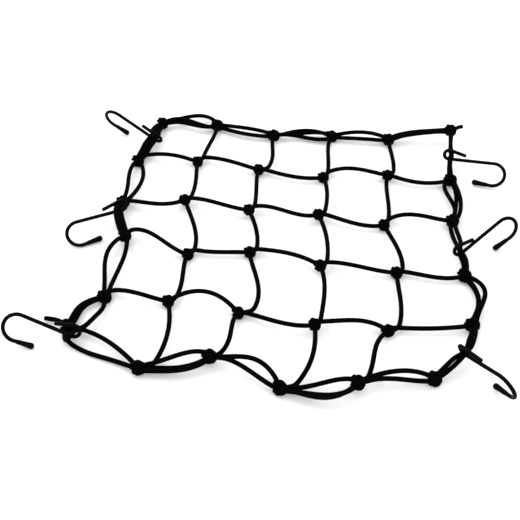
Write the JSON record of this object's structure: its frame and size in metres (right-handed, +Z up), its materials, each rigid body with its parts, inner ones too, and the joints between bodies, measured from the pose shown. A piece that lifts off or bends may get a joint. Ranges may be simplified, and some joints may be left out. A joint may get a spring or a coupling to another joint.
{
  "type": "elastic cargo net with hooks",
  "caption": "Square net of knotted black elastic cord with doubled border cords and bent wire hooks on two sides, lying loose and slightly rumpled on a flat surface.",
  "frame": {"origin": "on the surface that the net lies on, under the middle of its overall box", "axes": "+X from the left row of hooks to the right row, +Y to the back edge of the net, +Z up from the surface"},
  "size_m": [0.4172, 0.3456, 0.032],
  "materials": {
    "elastic_cord": "black braided cover over an elastic core",
    "coated_wire": "satin black dipped coating on bent steel wire"
  },
  "bodies": {
    "root": {"net": "elastic_cord", "hook_back_left": "coated_wire", "hook_mid_left": "coated_wire", "hook_front_left": "coated_wire", "hook_back_right": "coated_wire", "hook_mid_right": "coated_wire", "hook_front_right": "coated_wire"}
  },
  "joints": []
}
